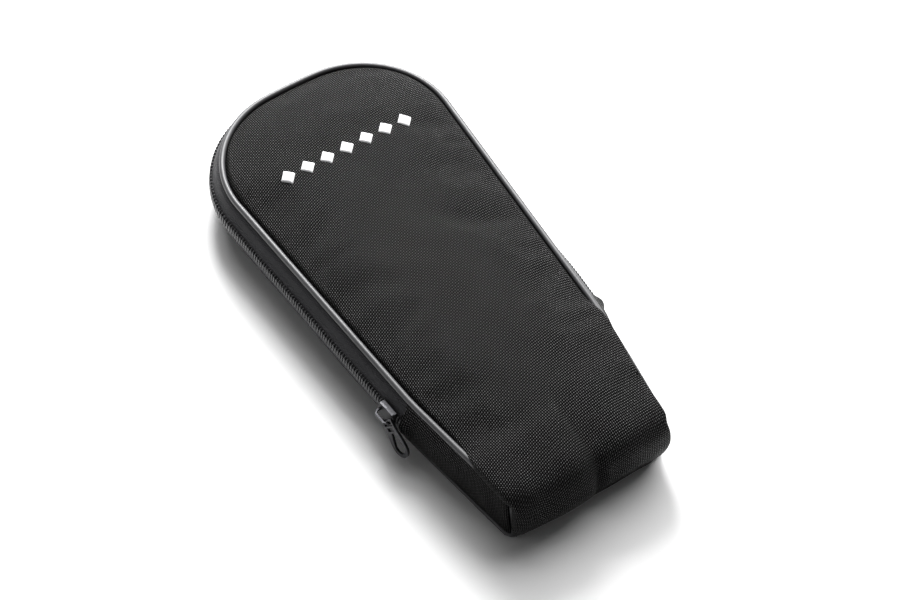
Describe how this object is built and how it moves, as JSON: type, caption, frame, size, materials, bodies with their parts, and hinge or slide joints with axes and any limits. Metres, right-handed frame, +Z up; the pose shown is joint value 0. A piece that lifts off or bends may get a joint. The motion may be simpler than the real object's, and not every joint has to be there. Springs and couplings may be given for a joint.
{
  "type": "otoscope carry case",
  "caption": "Soft padded nylon carry case for an otoscope, tapered to a fixed pocket, with piping, a zip round the crown, a fold-back lid and a hanging pull tab.",
  "frame": {"origin": "on the floor, under the middle of the overall box, with the case lying on its back panel", "axes": "+Y along the case towards the round crown, +X to the right seen from the narrow end, +Z up through the padded front"},
  "size_m": [0.1132, 0.23, 0.0326],
  "materials": {
    "outer_cloth": "black coated ballistic nylon, coarse basket weave, slight sheen",
    "foam": "grey open-cell foam sheet",
    "lining": "thin black brushed lining",
    "piping": "satin black vinyl-covered cord",
    "zip_tape": "black woven polyester tape, fine herringbone",
    "zip_coil": "black nylon coil",
    "binding": "black woven binding tape",
    "stitching": "white satin-stitched thread",
    "slider_metal": "gunmetal-plated zinc, worn bright on its edges"
  },
  "bodies": {
    "base": {"back_panel": "outer_cloth", "back_padding": "foam", "back_lining": "lining", "back_piping": "piping", "pocket_panel": "outer_cloth", "pocket_padding": "foam", "pocket_lining": "lining", "pocket_piping": "piping", "left_gusset": "outer_cloth", "right_gusset": "outer_cloth", "left_gusset_lining": "lining", "right_gusset_lining": "lining", "back_zip_tape": "zip_tape", "back_zip_coil": "zip_coil", "left_tape_end": "zip_tape", "right_tape_end": "zip_tape", "left_coil_end": "zip_coil", "right_coil_end": "zip_coil", "back_seam_binding": "binding", "pocket_seam_binding": "binding"},
    "lid": {"lid_panel": "outer_cloth", "lid_padding": "foam", "lid_lining": "lining", "lid_piping": "piping", "front_zip_tape": "zip_tape", "front_zip_coil": "zip_coil", "lid_seam_binding": "binding", "embroidery": "stitching"},
    "slider": {"slider_body": "slider_metal", "slider_bail": "slider_metal"},
    "tab": {"pull_tab": "slider_metal"}
  },
  "joints": [
    {"name": "lid_fold", "type": "hinge", "parent": "base", "child": "lid", "pos_m": [0, -0.03875, 0.032], "axis": [1, 0, 0], "range_deg": [0, 150]},
    {"name": "slider_travel", "type": "slide", "parent": "base", "child": "slider", "axis": [-0.0591, 0.9983, 0], "range_m": [0, 0.104]},
    {"name": "tab_swing", "type": "hinge", "parent": "slider", "child": "tab", "pos_m": [-0.05232, -0.05044, 0.01704], "axis": [-0.2123, 0.6476, -0.7319], "range_deg": [0, 85]}
  ]
}
